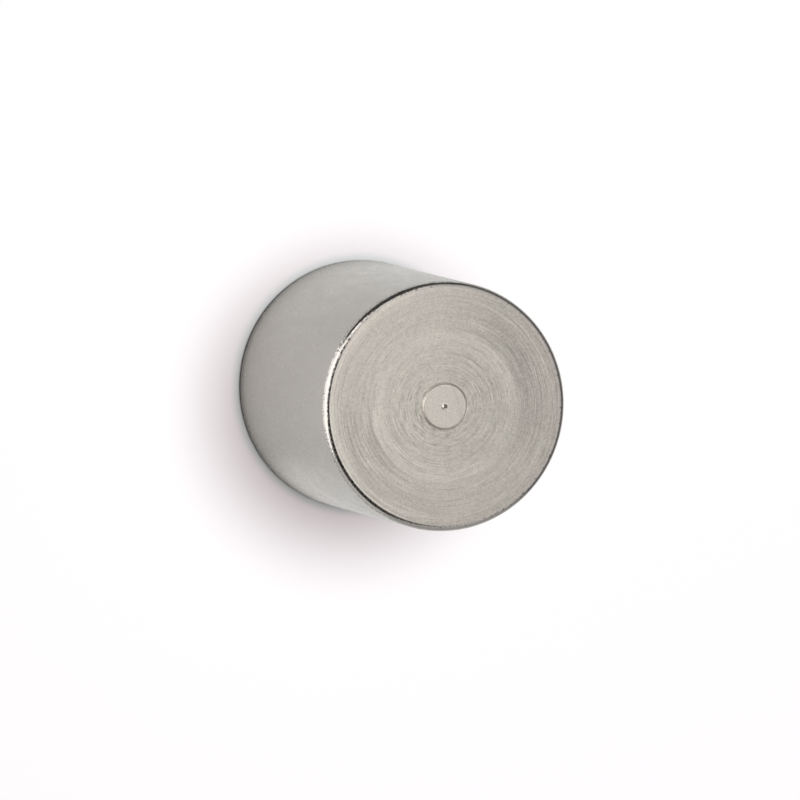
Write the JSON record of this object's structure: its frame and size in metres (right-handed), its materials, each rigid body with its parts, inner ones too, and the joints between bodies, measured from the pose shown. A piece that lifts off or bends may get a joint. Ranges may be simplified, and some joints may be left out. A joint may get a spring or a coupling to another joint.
{
  "type": "deep pot magnet",
  "caption": "Cylindrical deep pot magnet: a turned steel cup around a rod magnet and brass spacer, with a flat pole face at one end and a faced closed end at the other.",
  "frame": {"origin": "centre of the pole face, on the axis", "axes": "+Z along the axis, from the pole face to the closed end. The part is round, so X and Y are any two directions across it"},
  "size_m": [0.02, 0.02, 0.0252],
  "materials": {
    "plated_steel": "satin nickel plate over turned steel",
    "magnet_alloy": "ground, matt grey",
    "brass": "ground, bright",
    "resin": "cast epoxy"
  },
  "bodies": {
    "root": {"steel_pot": "plated_steel", "magnet_rod": "magnet_alloy", "spacer_ring": "brass", "bonding_resin": "resin"}
  },
  "joints": []
}
